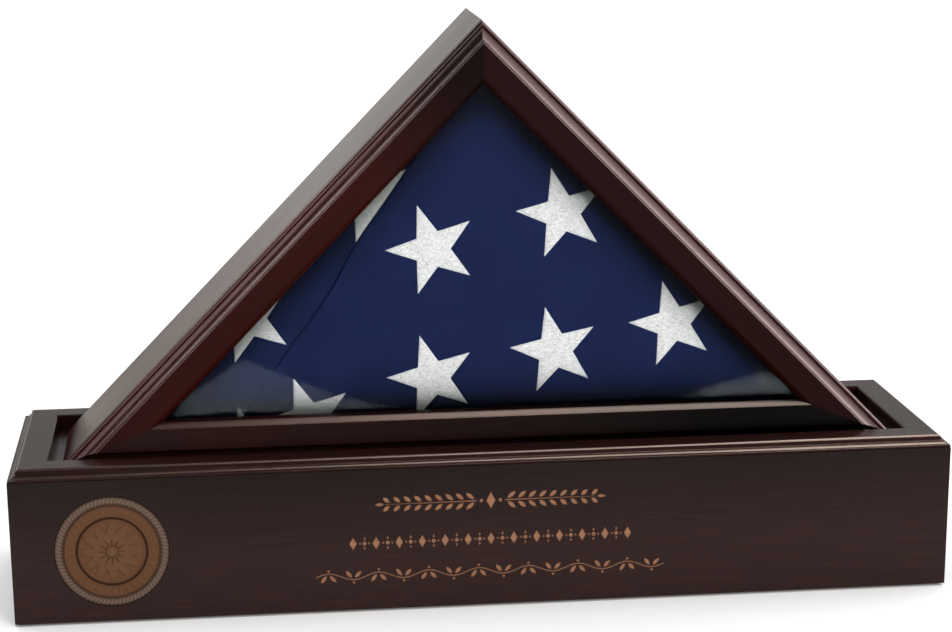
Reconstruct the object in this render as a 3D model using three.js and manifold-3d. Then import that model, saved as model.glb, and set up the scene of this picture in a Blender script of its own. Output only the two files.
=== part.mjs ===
// Folded flag display case: a triangular glazed case that lifts out of a recess in a long
// moulded wooden base. Millimetres, +Z up, front faces -Y, origin at the bottom centre.
import * as THREE from 'three';
import { mergeVertices } from 'three/addons/utils/BufferGeometryUtils.js';
import Module from 'manifold-3d';

const wasm = await Module();
wasm.setup();

// ---- Driving dimensions ----------------------------------------------------------------

const CLEARANCE = 0.3; // between separate pieces
const JOINT = 0.2; // glue line between butted pieces
const MITRE_GAP = 0.15; // taken off each end of a mitred bar

// Base box
const BASE_W = 740;
const BASE_D = 195;
const BOARD_T = 16;
const BOARD_BOTTOM = 2;
const BOARD_TOP = 116;
const PANEL_REBATE_W = 8; // step in the boards' lower inner edge that holds the bottom panel
const PANEL_REBATE_H = 5;
const BOTTOM_PANEL_T = 4.7;

// Rim moulding on top of the boards
const RIM_TOP = 125;
const RIM_W = 29.5;
const RIM_SET_IN = 0.3; // foot of its cove, in from the boards' outer face
const RIM_COVE_FOOT_H = 0.4;
const RIM_COVE_W = 4.2;
const RIM_COVE_TOP = 120.4;
const RIM_FILLET_W = 0.5;
const RIM_QUIRK_H = 1.2;
const RIM_ROUND_W = 3;
const RIM_ARRIS = 1;

// Recess floor and the pieces that hold it up
const DECK_TOP = 113;
const DECK_T = 8;
const CLEAT_W = 14;
const CLEAT_H = 15;
const BLOCK = 18;

// Felt
const FOOT_R = 13;
const FOOT_INSET = 30;
const PAD_R = 11;
const PAD_X = 240;
const PAD_Y = 34;

// Medallion let into the front board
const MEDALLION_R = 44;
const MEDALLION_X = -293;
const MEDALLION_Z = 58.5;
const POCKET_DEPTH = 5;
const MEDALLION_PROUD = 1;
const MEDALLION_FLAT = 0.2; // how far its flat middle stands out of the front board
const ROPE_W = 6; // rope border
const ROPE_SHOULDER = 0.6;
const BAND_W = 8; // from the rim to the start of the raised band inside the rope
const RING_AT = 0.605; // dark ring groove, as a share of the radius
const RING_W = 0.02;
const RING_DEPTH = 0.6;

// Triangular case: nearly a right angle on top, its long side down. It stands loose in the
// recess, a little right of the middle.
const CASE_W = 665;
const CASE_H = 338.5;
const CASE_X = 2;
const CASE_BOTTOM = 117;
const CASE_HALF_D = 52.5;
const SIDE_T = 14;
const BACK_REBATE_N = 9; // width of the strip left outside the back panel
const BACK_REBATE_D = 5;
const FACE_W = 33.7; // face frame, measured square to its edge
const FACE_T = 13;
const MOULD_W = 13.2; // moulded part of the face frame
const FACE_BEVEL_W = 2;
const FACE_BEVEL_D = 1.6;
const FACE_FILLET_D = 1.1;
const FACE_FILLET_SLOPE = 0.2;
const FACE_COVE_FROM = 4.2; // cove: its outer edge, width, front edge and depth
const FACE_COVE_W = 7.6;
const FACE_COVE_FRONT = 1.3;
const FACE_COVE_D = 7.3;
const FACE_BEAD_R = 3.4;
const FACE_BEAD_FRONT = 9;
const GLASS_T = 2.6;
const STOP_W = 7.7;
const STOP_T = 7.9;
const BACK_PANEL_T = 4.6;
const BACK_PANEL_SUNK = 0.1; // below the sides' back edges
const BACK_PANEL_GAP = 0.4; // all round, in its rebate

// Folded flag, a plain solid of its outer shape
const FLAG_INSET = 16.5;
const FLAG_FRONT_INSET = 23.5;
const FLAG_BACK_Y = 41;
const FLAG_ROUND = 9;
const FLAG_TO_GLASS = 1;
const FLAG_TO_STOPS = 0.7;

// Turn buttons on the back edge of both legs
const BUTTON_L = 30;
const BUTTON_W = 8;
const BUTTON_T = 2;
const BUTTON_HOLE_R = 2;
const BUTTON_LIFT = 0.4; // above the back edge
const BUTTON_AT = [150, 345]; // up the leg from its lower corner

// ---- Materials -------------------------------------------------------------------------

const finish = (color, roughness, metalness = 0, extra = {}) =>
  new THREE.MeshStandardMaterial({ color, roughness, metalness, ...extra });

const lacqueredWood = () => finish(0x3a1c1a, 0.32);
const bareWood = () => finish(0xb08a5c, 0.75);
const plywood = () => finish(0x8a6844, 0.7);
const felt = () => finish(0x1d1d1f, 0.95);
const medallionWood = () => finish(0xa2713f, 0.5);
const brass = () => finish(0xb08d48, 0.35, 1);
const steel = () => finish(0xb9bbbd, 0.3, 1);
const cloth = () => finish(0x18204d, 0.85);
const glass = () => finish(0xe6f0ee, 0.05, 0, { transparent: true, opacity: 0.25 });

const model = new THREE.Group();

function addPart(name, geometry, material, parent = model) {
  const mesh = new THREE.Mesh(geometry, material);
  mesh.name = name;
  parent.add(mesh);
  return mesh;
}

// ---- Solid helpers ---------------------------------------------------------------------

function toSolid(geometry) {
  const plain = geometry.clone();
  plain.deleteAttribute('normal');
  plain.deleteAttribute('uv');
  const merged = mergeVertices(plain, 1e-4);
  return new wasm.Manifold(
    new wasm.Mesh({
      numProp: 3,
      vertProperties: new Float32Array(merged.attributes.position.array),
      triVerts: new Uint32Array(merged.index.array),
    }),
  );
}

function toGeometry(solid) {
  const mesh = solid.getMesh();
  const geometry = new THREE.BufferGeometry();
  geometry.setAttribute('position', new THREE.BufferAttribute(mesh.vertProperties, 3));
  geometry.setIndex(new THREE.BufferAttribute(mesh.triVerts, 1));
  geometry.computeVertexNormals();
  return geometry;
}

function cut(geometry, cutters) {
  let solid = toSolid(geometry);
  for (const cutter of cutters) solid = solid.subtract(toSolid(cutter));
  return toGeometry(solid);
}

function box(low, high) {
  const size = high.map((value, i) => value - low[i]);
  const middle = high.map((value, i) => (value + low[i]) / 2);
  return new THREE.BoxGeometry(...size).translate(...middle);
}

// A turned shape about the Y axis. Profile points are [radius, height along Y].
function turned(profile, segments) {
  const points = profile.map(([radius, height]) => new THREE.Vector2(radius, height));
  return new THREE.LatheGeometry(points, segments);
}

// A bar of one cross-section with mitred ends. Section points are [u, v]: u inward from the
// bar's outer edge, v along the depth axis. The setback of each end is u / tan(corner / 2).
function mitredBar(section, from, to, inward, corners) {
  const start = new THREE.Vector3(...from);
  const along = new THREE.Vector3(...to).sub(start);
  const length = along.length();
  along.normalize();
  const across = new THREE.Vector3(...inward).normalize();
  const shape = new THREE.Shape(section.map(([u, v]) => new THREE.Vector2(u, v)));
  const geometry = new THREE.ExtrudeGeometry(shape, { depth: length, bevelEnabled: false });
  const setback = corners.map((degrees) => 1 / Math.tan(THREE.MathUtils.degToRad(degrees / 2)));
  const position = geometry.attributes.position;
  for (let i = 0; i < position.count; i += 1) {
    const u = position.getX(i);
    const atStart = position.getZ(i) < length / 2;
    const z = atStart
      ? u * setback[0] + MITRE_GAP
      : length - u * setback[1] - MITRE_GAP;
    position.setZ(i, z);
  }
  const depth = new THREE.Vector3().crossVectors(along, across);
  const place = new THREE.Matrix4().makeBasis(across, depth, along).setPosition(start);
  return geometry.applyMatrix4(place);
}

// Part of an ellipse between two angles, as section points to the nearest millionth
function arcPoints([cu, cv], [ru, rv], fromDegrees, toDegrees, steps) {
  return Array.from({ length: steps + 1 }, (_, i) => {
    const angle = THREE.MathUtils.degToRad(
      fromDegrees + ((toDegrees - fromDegrees) * i) / steps,
    );
    const round = (value) => Math.round(value * 1e6) / 1e6;
    return [round(cu + ru * Math.cos(angle)), round(cv + rv * Math.sin(angle))];
  });
}

// ---- Base box --------------------------------------------------------------------------

const HX = BASE_W / 2;
const HY = BASE_D / 2;
const INNER_X = HX - BOARD_T;
const INNER_Y = HY - BOARD_T;
const REBATE_TOP = BOARD_BOTTOM + PANEL_REBATE_H;

// The four sides, anticlockwise from above, each with its outer edge and inward direction
const BASE_SIDES = {
  front: { from: [-HX, -HY, 0], to: [HX, -HY, 0], inward: [0, 1, 0] },
  right: { from: [HX, -HY, 0], to: [HX, HY, 0], inward: [-1, 0, 0] },
  back: { from: [HX, HY, 0], to: [-HX, HY, 0], inward: [0, -1, 0] },
  left: { from: [-HX, HY, 0], to: [-HX, -HY, 0], inward: [1, 0, 0] },
};

const boardSection = [
  [0, BOARD_BOTTOM],
  [PANEL_REBATE_W, BOARD_BOTTOM],
  [PANEL_REBATE_W, REBATE_TOP],
  [BOARD_T, REBATE_TOP],
  [BOARD_T, BOARD_TOP],
  [0, BOARD_TOP],
];

// Rim section: cove, quirk and round on the outer edge, then the flat top, with a lip inside
// the boards that rests on the recess floor
const rimUnderside = BOARD_TOP + JOINT;
const rimCove = [RIM_COVE_W, RIM_COVE_TOP - rimUnderside - RIM_COVE_FOOT_H];
const quirkFrom = RIM_SET_IN + RIM_COVE_W + RIM_FILLET_W;
const quirkTop = RIM_COVE_TOP + RIM_QUIRK_H;
const rimRound = [RIM_ROUND_W, RIM_TOP - quirkTop];
const rimSection = [
  [RIM_SET_IN, rimUnderside],
  ...arcPoints([RIM_SET_IN, RIM_COVE_TOP], rimCove, -90, 0, 5),
  [quirkFrom, RIM_COVE_TOP],
  ...arcPoints([quirkFrom + RIM_ROUND_W, quirkTop], rimRound, 180, 90, 5),
  [RIM_W - RIM_ARRIS, RIM_TOP],
  [RIM_W, RIM_TOP - RIM_ARRIS],
  [RIM_W, DECK_TOP + JOINT],
  [BOARD_T + CLEARANCE, DECK_TOP + JOINT],
  [BOARD_T + CLEARANCE, rimUnderside],
];

// Bottom screws: along the rebate's shoulder, so that each one bites into a board
const SCREW_R = 1.6;
const SCREW_HEAD_R = 3.4;
const SCREW_HEAD_H = 2.2;
const SCREW_L = 16;
const SCREW_POINT_L = 2;
const SCREW_HEAD_Z = BOARD_BOTTOM + JOINT;
const shoulderX = HX - (PANEL_REBATE_W + BOARD_T) / 2;
const shoulderY = HY - (PANEL_REBATE_W + BOARD_T) / 2;
const BOTTOM_SCREWS = {
  front_left: [-300, -shoulderY],
  front_middle: [0, -shoulderY],
  front_right: [300, -shoulderY],
  right_end: [shoulderX, 0],
  back_right: [300, shoulderY],
  back_middle: [0, shoulderY],
  back_left: [-300, shoulderY],
  left_end: [-shoulderX, 0],
};

// A countersunk screw standing point up, or the hole for one when grown by a clearance
const screwProfile = (grow) => [
  [0, -grow],
  [SCREW_HEAD_R + grow, -grow],
  [SCREW_R + grow, SCREW_HEAD_H + grow],
  [SCREW_R + grow, SCREW_L - SCREW_POINT_L + grow],
  [0, SCREW_L + grow],
];
const screwAt = ([x, y], grow = 0) =>
  turned(screwProfile(grow), 16).rotateX(Math.PI / 2).translate(x, y, SCREW_HEAD_Z);

const pocket = new THREE.CylinderGeometry(
  MEDALLION_R + CLEARANCE,
  MEDALLION_R + CLEARANCE,
  2 * POCKET_DEPTH,
  48,
).translate(MEDALLION_X, -HY, MEDALLION_Z);

for (const [side, { from, to, inward }] of Object.entries(BASE_SIDES)) {
  const board = mitredBar(boardSection, from, to, inward, [90, 90]);
  const holes = Object.entries(BOTTOM_SCREWS)
    .filter(([name]) => name.startsWith(side))
    .map(([, place]) => screwAt(place, CLEARANCE));
  if (side === 'front') holes.push(pocket);
  addPart(`base_${side}_board`, cut(board, holes), lacqueredWood());
  const rim = mitredBar(rimSection, from, to, inward, [90, 90]);
  addPart(`rim_${side}_moulding`, rim, lacqueredWood());
}

// Recess floor on its cleats, and a glue block in each corner
const deckX = INNER_X - CLEARANCE;
const deckY = INNER_Y - CLEARANCE;
addPart(
  'recess_floor',
  box([-deckX, -deckY, DECK_TOP - DECK_T], [deckX, deckY, DECK_TOP]),
  lacqueredWood(),
);

const cleatTop = DECK_TOP - DECK_T - JOINT;
const cleatLow = cleatTop - CLEAT_H;
for (const [side, sign] of [['front', -1], ['back', 1]]) {
  const near = sign * deckY;
  const far = sign * (deckY - CLEAT_W);
  addPart(
    `floor_cleat_${side}`,
    box([-deckX, Math.min(near, far), cleatLow], [deckX, Math.max(near, far), cleatTop]),
    bareWood(),
  );
}
const endCleatY = deckY - CLEAT_W - CLEARANCE;
for (const [side, sign] of [['left', -1], ['right', 1]]) {
  const near = sign * deckX;
  const far = sign * (deckX - CLEAT_W);
  addPart(
    `floor_cleat_${side}`,
    box([Math.min(near, far), -endCleatY, cleatLow], [Math.max(near, far), endCleatY, cleatTop]),
    bareWood(),
  );
}
for (const [depth, sy] of [['front', -1], ['back', 1]]) {
  for (const [side, sx] of [['left', -1], ['right', 1]]) {
    const x = sx * (deckX - BLOCK / 2);
    const y = sy * (deckY - BLOCK / 2);
    addPart(
      `corner_block_${depth}_${side}`,
      box(
        [x - BLOCK / 2, y - BLOCK / 2, REBATE_TOP + CLEARANCE],
        [x + BLOCK / 2, y + BLOCK / 2, cleatLow - CLEARANCE],
      ),
      bareWood(),
    );
  }
}

// Bottom panel in its rebate, its screws, and the felt feet
const panelX = HX - PANEL_REBATE_W - CLEARANCE;
const panelY = HY - PANEL_REBATE_W - CLEARANCE;
const bottomPanel = box(
  [-panelX, -panelY, BOARD_BOTTOM],
  [panelX, panelY, BOARD_BOTTOM + BOTTOM_PANEL_T],
);
const panelHoles = Object.values(BOTTOM_SCREWS).map((place) => screwAt(place, CLEARANCE));
addPart('bottom_panel', cut(bottomPanel, panelHoles), plywood());
for (const [name, place] of Object.entries(BOTTOM_SCREWS)) {
  addPart(`bottom_screw_${name}`, screwAt(place), steel());
}
const footH = BOARD_BOTTOM - JOINT;
for (const [depth, sy] of [['front', -1], ['back', 1]]) {
  for (const [side, sx] of [['left', -1], ['right', 1]]) {
    const foot = new THREE.CylinderGeometry(FOOT_R, FOOT_R, footH, 24)
      .rotateX(Math.PI / 2)
      .translate(sx * (HX - FOOT_INSET), sy * (HY - FOOT_INSET), footH / 2);
    addPart(`felt_foot_${depth}_${side}`, foot, felt());
  }
}

// Medallion: a turned disc with a rope border, a ring band and a flat middle. Profile
// heights run from the pocket's floor out of the front face.
const discFace = POCKET_DEPTH + MEDALLION_FLAT;
const ropeTop = POCKET_DEPTH + MEDALLION_PROUD;
const ropeFoot = ropeTop - ROPE_SHOULDER - MEDALLION_FLAT;
const ropeRound = [ROPE_W / 2, ropeTop - ropeFoot];
const ropeSection = arcPoints([MEDALLION_R - ROPE_W / 2, ropeFoot], ropeRound, 0, 180, 6);
const grooveSection = [[1.5, 0], [1, RING_DEPTH], [-1, RING_DEPTH], [-1.5, 0]].map(
  ([share, depth]) => [MEDALLION_R * (RING_AT + share * RING_W), discFace - depth],
);
const medallionProfile = [
  [0, CLEARANCE],
  [MEDALLION_R, CLEARANCE],
  ...ropeSection,
  [MEDALLION_R - BAND_W, ropeFoot],
  [MEDALLION_R - BAND_W - ROPE_SHOULDER, discFace],
  ...grooveSection,
  [0, discFace],
];
const medallion = turned(medallionProfile, 48)
  .rotateX(Math.PI)
  .translate(MEDALLION_X, POCKET_DEPTH - HY, MEDALLION_Z);
addPart('medallion', medallion, medallionWood());

// ---- Triangular case -------------------------------------------------------------------

const CASE_HALF_W = CASE_W / 2;
const APEX_Z = CASE_BOTTOM + CASE_H;
const LEG_ANGLE = Math.atan2(CASE_H, CASE_HALF_W);
const LEG_COS = Math.cos(LEG_ANGLE);
const LEG_SIN = Math.sin(LEG_ANGLE);
const FOOT_CORNER = THREE.MathUtils.radToDeg(LEG_ANGLE);
const APEX_CORNER = 180 - 2 * FOOT_CORNER;

const triangularCase = new THREE.Group();
triangularCase.position.x = CASE_X;
model.add(triangularCase);

// The three sides, clockwise from the front, each with its outer edge and inward direction
const CASE_SIDES = {
  left: {
    from: [-CASE_HALF_W, 0, CASE_BOTTOM],
    to: [0, 0, APEX_Z],
    inward: [LEG_SIN, 0, -LEG_COS],
    corners: [FOOT_CORNER, APEX_CORNER],
  },
  right: {
    from: [0, 0, APEX_Z],
    to: [CASE_HALF_W, 0, CASE_BOTTOM],
    inward: [-LEG_SIN, 0, -LEG_COS],
    corners: [APEX_CORNER, FOOT_CORNER],
  },
  bottom: {
    from: [CASE_HALF_W, 0, CASE_BOTTOM],
    to: [-CASE_HALF_W, 0, CASE_BOTTOM],
    inward: [0, 0, 1],
    corners: [FOOT_CORNER, FOOT_CORNER],
  },
};

// Corners of the case's triangle moved inward by a distance square to each side
function triangleCorners(inset) {
  const side = inset / Math.tan(LEG_ANGLE / 2);
  return {
    left: [-CASE_HALF_W + side, CASE_BOTTOM + inset],
    right: [CASE_HALF_W - side, CASE_BOTTOM + inset],
    top: [0, APEX_Z - inset / LEG_COS],
  };
}

// The same triangle as an outline with its corners rounded
function triangleShape(inset, radius = 0) {
  const { left, right, top } = triangleCorners(inset + radius);
  const shape = new THREE.Shape();
  if (radius === 0) {
    shape.moveTo(...left);
    shape.lineTo(...right);
    shape.lineTo(...top);
    shape.closePath();
    return shape;
  }
  const upright = Math.PI / 2;
  shape.absarc(...right, radius, -upright, upright - LEG_ANGLE, false);
  shape.absarc(...top, radius, upright - LEG_ANGLE, upright + LEG_ANGLE, false);
  shape.absarc(...left, radius, upright + LEG_ANGLE, 3 * upright, false);
  shape.closePath();
  return shape;
}

// A triangular plate from its front face to its back face
function plate(shape, frontY, backY) {
  const options = { depth: backY - frontY, bevelEnabled: false, curveSegments: 6 };
  return new THREE.ExtrudeGeometry(shape, options).rotateX(Math.PI / 2).translate(0, backY, 0);
}

const faceBack = -CASE_HALF_D - JOINT;
const faceFront = -CASE_HALF_D - FACE_T;
const glassBack = faceBack + CLEARANCE + GLASS_T;
const stopFront = glassBack + CLEARANCE;

const sideSection = [
  [0, -CASE_HALF_D],
  [SIDE_T, -CASE_HALF_D],
  [SIDE_T, CASE_HALF_D - BACK_REBATE_D],
  [BACK_REBATE_N, CASE_HALF_D - BACK_REBATE_D],
  [BACK_REBATE_N, CASE_HALF_D],
  [0, CASE_HALF_D],
];

// Face frame section: bead, quirk, wide cove and fillet, then the flat face with a small
// bevel on its inner edge
const faceBead = [FACE_BEAD_R, FACE_BEAD_R];
const faceSection = [
  [0, faceBack],
  [FACE_W, faceBack],
  [FACE_W, faceFront + FACE_BEVEL_D],
  [FACE_W - FACE_BEVEL_W, faceFront],
  [MOULD_W, faceFront],
  [MOULD_W - FACE_FILLET_SLOPE, faceFront + FACE_FILLET_D],
  ...arcPoints([FACE_COVE_FROM, faceFront + FACE_COVE_FRONT], [FACE_COVE_W, FACE_COVE_D], 0, 90, 6),
  [FACE_BEAD_R, faceFront + FACE_COVE_FRONT + FACE_COVE_D],
  ...arcPoints([FACE_BEAD_R, faceFront + FACE_BEAD_FRONT + FACE_BEAD_R], faceBead, -90, -180, 4),
];

const stopSection = [
  [SIDE_T + CLEARANCE, stopFront],
  [SIDE_T + CLEARANCE + STOP_W, stopFront],
  [SIDE_T + CLEARANCE + STOP_W, stopFront + STOP_T / 2],
  [SIDE_T + CLEARANCE + STOP_W / 2, stopFront + STOP_T],
  [SIDE_T + CLEARANCE, stopFront + STOP_T],
];

// Turn buttons: where each one pivots, up its leg from the lower corner
const BUTTON_N = BACK_REBATE_N / 2;
function buttonPivot(sign, distance) {
  const x = -CASE_HALF_W + distance * LEG_COS + BUTTON_N * LEG_SIN;
  const z = CASE_BOTTOM + distance * LEG_SIN - BUTTON_N * LEG_COS;
  return [-sign * x, z];
}
const BUTTON_LEGS = { left: -1, right: 1 };
const BUTTON_LEVELS = { lower: BUTTON_AT[0], upper: BUTTON_AT[1] };
const BUTTON_SCREW_R = 1.5;
const BUTTON_SCREW_L = 14;
const BUTTON_HEAD_R = 3.4;
const BUTTON_HEAD_H = 2.2;
const buttonBack = CASE_HALF_D + BUTTON_LIFT + BUTTON_T;

// A pan-head screw pointing into the case from behind, or the hole for one
const buttonScrewProfile = (grow) => [
  [0, -BUTTON_SCREW_L - grow],
  [BUTTON_SCREW_R + grow, SCREW_POINT_L - BUTTON_SCREW_L - grow],
  [BUTTON_SCREW_R + grow, 0],
  ...arcPoints([0, 0], [BUTTON_HEAD_R, BUTTON_HEAD_H], 0, 90, 4),
];
const buttonScrew = ([x, z], grow = 0) =>
  turned(buttonScrewProfile(grow), 16).translate(x, buttonBack + CLEARANCE, z);

for (const [side, { from, to, inward, corners }] of Object.entries(CASE_SIDES)) {
  const board = mitredBar(sideSection, from, to, inward, corners);
  const holes = side in BUTTON_LEGS
    ? Object.values(BUTTON_LEVELS).map((distance) =>
        buttonScrew(buttonPivot(BUTTON_LEGS[side], distance), CLEARANCE))
    : [];
  addPart(`case_${side}_side`, cut(board, holes), lacqueredWood(), triangularCase);
  const rail = mitredBar(faceSection, from, to, inward, corners);
  addPart(`face_${side}_rail`, rail, lacqueredWood(), triangularCase);
  const stop = mitredBar(stopSection, from, to, inward, corners);
  addPart(`glass_stop_${side}`, stop, bareWood(), triangularCase);
}

const pane = plate(triangleShape(SIDE_T + 2 * CLEARANCE), glassBack - GLASS_T, glassBack);
addPart('glass_pane', pane, glass(), triangularCase);

const flagFront = glassBack + FLAG_TO_GLASS;
const flagShoulder = stopFront + STOP_T + FLAG_TO_STOPS;
const flagBody = plate(triangleShape(FLAG_INSET, FLAG_ROUND), flagShoulder, FLAG_BACK_Y);
const flagCrown = plate(triangleShape(FLAG_FRONT_INSET, FLAG_ROUND), flagFront, 0);
const flag = toGeometry(toSolid(flagBody).add(toSolid(flagCrown)));
addPart('folded_flag', flag, cloth(), triangularCase);

const panelBack = CASE_HALF_D - BACK_PANEL_SUNK;
addPart(
  'back_panel',
  plate(triangleShape(BACK_REBATE_N + BACK_PANEL_GAP), panelBack - BACK_PANEL_T, panelBack),
  plywood(),
  triangularCase,
);

for (const [depth, sy] of [['front', -1], ['back', 1]]) {
  for (const [side, sx] of [['left', -1], ['right', 1]]) {
    const height = CASE_BOTTOM - DECK_TOP - 2 * JOINT;
    const pad = new THREE.CylinderGeometry(PAD_R, PAD_R, height, 24)
      .rotateX(Math.PI / 2)
      .translate(sx * PAD_X, sy * PAD_Y, (CASE_BOTTOM + DECK_TOP) / 2);
    addPart(`case_pad_${depth}_${side}`, pad, felt(), triangularCase);
  }
}

// A turn button lies along its leg and swings a quarter turn over the back panel
const buttonOutline = new THREE.Shape();
const buttonReach = BUTTON_L - BUTTON_W;
buttonOutline.absarc(0, 0, BUTTON_W / 2, Math.PI / 2, (3 * Math.PI) / 2, false);
buttonOutline.absarc(buttonReach, 0, BUTTON_W / 2, -Math.PI / 2, Math.PI / 2, false);
buttonOutline.closePath();
buttonOutline.holes.push(new THREE.Path().absarc(0, 0, BUTTON_HOLE_R, 0, 2 * Math.PI, true));

for (const [side, sign] of Object.entries(BUTTON_LEGS)) {
  for (const [level, distance] of Object.entries(BUTTON_LEVELS)) {
    const [x, z] = buttonPivot(sign, distance);
    const pivot = new THREE.Group();
    pivot.position.set(x, buttonBack, z);
    pivot.rotation.y = sign < 0 ? -LEG_ANGLE : LEG_ANGLE - Math.PI;
    triangularCase.add(pivot);
    const blade = new THREE.ExtrudeGeometry(buttonOutline, {
      depth: BUTTON_T,
      bevelEnabled: false,
      curveSegments: 8,
    }).rotateX(Math.PI / 2);
    addPart(`turn_button_${side}_${level}`, blade, brass(), pivot);
    addPart(`button_screw_${side}_${level}`, buttonScrew([x, z]), steel(), triangularCase);
  }
}

export default model;
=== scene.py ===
# Folded flag display case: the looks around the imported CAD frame.
# Lengths are millimetres until a mesh is made, and metres for the camera, light and floor. The
# frame's own directions hold: +X to the right, the front faces -Y, +Z up.
import math

import bmesh
import bpy
from mathutils import Matrix, Vector, noise


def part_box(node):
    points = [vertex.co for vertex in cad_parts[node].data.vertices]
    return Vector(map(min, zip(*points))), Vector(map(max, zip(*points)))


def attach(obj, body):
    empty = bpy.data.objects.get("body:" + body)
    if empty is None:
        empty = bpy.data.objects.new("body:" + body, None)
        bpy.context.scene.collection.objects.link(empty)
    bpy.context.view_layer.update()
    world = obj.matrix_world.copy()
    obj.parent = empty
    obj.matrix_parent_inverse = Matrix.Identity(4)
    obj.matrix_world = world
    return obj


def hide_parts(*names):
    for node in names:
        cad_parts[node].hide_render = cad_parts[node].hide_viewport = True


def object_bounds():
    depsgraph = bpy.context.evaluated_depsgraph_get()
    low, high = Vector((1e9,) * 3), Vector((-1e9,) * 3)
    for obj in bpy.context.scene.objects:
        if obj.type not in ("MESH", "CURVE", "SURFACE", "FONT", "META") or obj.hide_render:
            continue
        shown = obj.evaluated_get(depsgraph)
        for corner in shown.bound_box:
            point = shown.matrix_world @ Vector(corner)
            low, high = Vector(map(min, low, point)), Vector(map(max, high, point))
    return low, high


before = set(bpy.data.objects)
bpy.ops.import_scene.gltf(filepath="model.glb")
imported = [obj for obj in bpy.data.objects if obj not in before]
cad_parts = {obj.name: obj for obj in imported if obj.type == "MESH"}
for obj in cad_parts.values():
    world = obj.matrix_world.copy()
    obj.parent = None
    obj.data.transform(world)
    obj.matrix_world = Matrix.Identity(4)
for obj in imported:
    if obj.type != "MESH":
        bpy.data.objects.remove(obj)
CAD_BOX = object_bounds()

MM = 0.001


def node_box(name):
    """Lowest and highest corners of a CAD node, in millimetres."""
    low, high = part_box(name)
    return low / MM, high / MM


def linear(value):
    """One 0-255 screen value as linear light."""
    return ((value / 255 + 0.055) / 1.055) ** 2.4 if value > 10 else value / 255 / 12.92


def srgb(red, green, blue):
    """A colour given as 0-255 screen values, as the linear colour that a shader takes."""
    return linear(red), linear(green), linear(blue), 1


# ---- Material graphs -------------------------------------------------------------------


class Graph:
    """The node tree of a new material, or of the world, with its shader already in place."""

    def __init__(self, name, world=False, **settings):
        self.owner = (bpy.data.worlds if world else bpy.data.materials).new(name)
        self.owner.use_nodes = True
        self.nodes = self.owner.node_tree.nodes
        self.links = self.owner.node_tree.links
        self.shader = self.nodes["Background" if world else "Principled BSDF"]
        self.output = self.nodes["World Output" if world else "Material Output"]
        self.set(self.shader, settings)

    def set(self, node, values):
        for key, value in values.items():
            socket = node.inputs[key if isinstance(key, int) else key.replace("_", " ")]
            if isinstance(value, bpy.types.NodeSocket):
                self.links.new(value, socket)
            else:
                socket.default_value = value

    def add(self, kind, attributes=None, **values):
        node = self.nodes.new("ShaderNode" + kind)
        for key, value in (attributes or {}).items():
            setattr(node, key, value)
        self.set(node, values)
        return node

    def part(self, vector, axis):
        """A vector's X, Y or Z."""
        return self.add("SeparateXYZ", Vector=vector).outputs[axis]

    def place(self, scale=(1, 1, 1)):
        """The object's own coordinates, in metres, stretched by a scale along each axis."""
        coordinates = self.add("TexCoord").outputs["Object"]
        return self.add("Mapping", Vector=coordinates, Scale=scale).outputs[0]

    def noise(self, vector, scale, detail=4, roughness=0.55, distortion=0.0):
        return self.add(
            "TexNoise", Vector=vector, Scale=scale, Detail=detail, Roughness=roughness,
            Distortion=distortion,
        ).outputs[0]

    def ramp(self, factor, stops):
        """Colours or greys at stops from 0 to 1."""
        node = self.add("ValToRGB", Fac=factor)
        elements = node.color_ramp.elements
        while len(elements) < len(stops):
            elements.new(0.5)
        for element, (place, colour) in zip(elements, stops):
            element.position = place
            element.color = colour if isinstance(colour, tuple) else (colour, colour, colour, 1)
        return node.outputs[0]

    def mix(self, factor, first, second):
        node = self.add("Mix", {"data_type": "RGBA"})
        self.set(node, {0: factor, 6: first, 7: second})
        return node.outputs[2]

    def math(self, operation, first, second=0.0):
        node = self.add("Math", {"operation": operation})
        self.set(node, {0: first, 1: second})
        return node.outputs[0]

    def spread(self, value, low, high, start=0.0, end=1.0):
        """A value mapped to run from low to high as it goes from start to end."""
        return self.add(
            "MapRange", Value=value, From_Min=start, From_Max=end, To_Min=low, To_Max=high,
        ).outputs[0]

    def attribute(self, name):
        """A number that the mesh carries at each of its points."""
        return self.add("Attribute", {"attribute_name": name}).outputs["Fac"]

    def bump(self, height, distance, strength=1.0):
        normal = self.add("Bump", Height=height, Distance=distance, Strength=strength)
        self.set(self.shader, {"Normal": normal.outputs[0]})


def wood(name, dark, middle, light, grain, roughness, pores, specular=0.5, fade=None):
    """Wood with its grain along the axis named, x, y or z of the object's coordinates. A fade, an axis
    and two (distance along it in millimetres, share of the colour) pairs, paints shade along it."""
    graph = Graph(name, Specular_IOR_Level=specular)

    def stretched(share):
        return graph.place([share if axis == grain else 1 for axis in "xyz"])

    streaks = graph.noise(stretched(0.055), 420, 6, 0.62, 0.6)
    figure = graph.noise(stretched(0.3), 16, 3)
    pore = graph.noise(stretched(0.02), 1500, 2, 0.5)
    tone = graph.ramp(streaks, [(0.25, dark), (0.52, middle), (0.80, light)])
    clouded = graph.mix(graph.spread(figure, 0.0, 0.65), tone, dark)
    pits = graph.ramp(pore, [(0.30, 0.0), (0.42, 1.0)])
    colour = graph.mix(graph.spread(pits, 1 - pores, 1.0), dark, clouded)
    # Painted shade: the colour darkens along the axis, toward where less light reaches the board.
    if fade:
        axis, (near, near_share), (far, far_share) = fade
        distance = graph.part(graph.place(), axis)
        share = graph.spread(distance, near_share, far_share, near * MM, far * MM)
        colour = graph.mix(share, (0, 0, 0, 1), colour)
    rough = graph.spread(figure, roughness - 0.06, roughness + 0.08)
    graph.set(graph.shader, {"Base Color": colour, "Roughness": rough})
    ripple = graph.noise(graph.place(), 90, 2)
    graph.bump(graph.math("ADD", pits, graph.math("MULTIPLY", ripple, 2.0)), 0.00004, 0.6)
    return graph.owner


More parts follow.
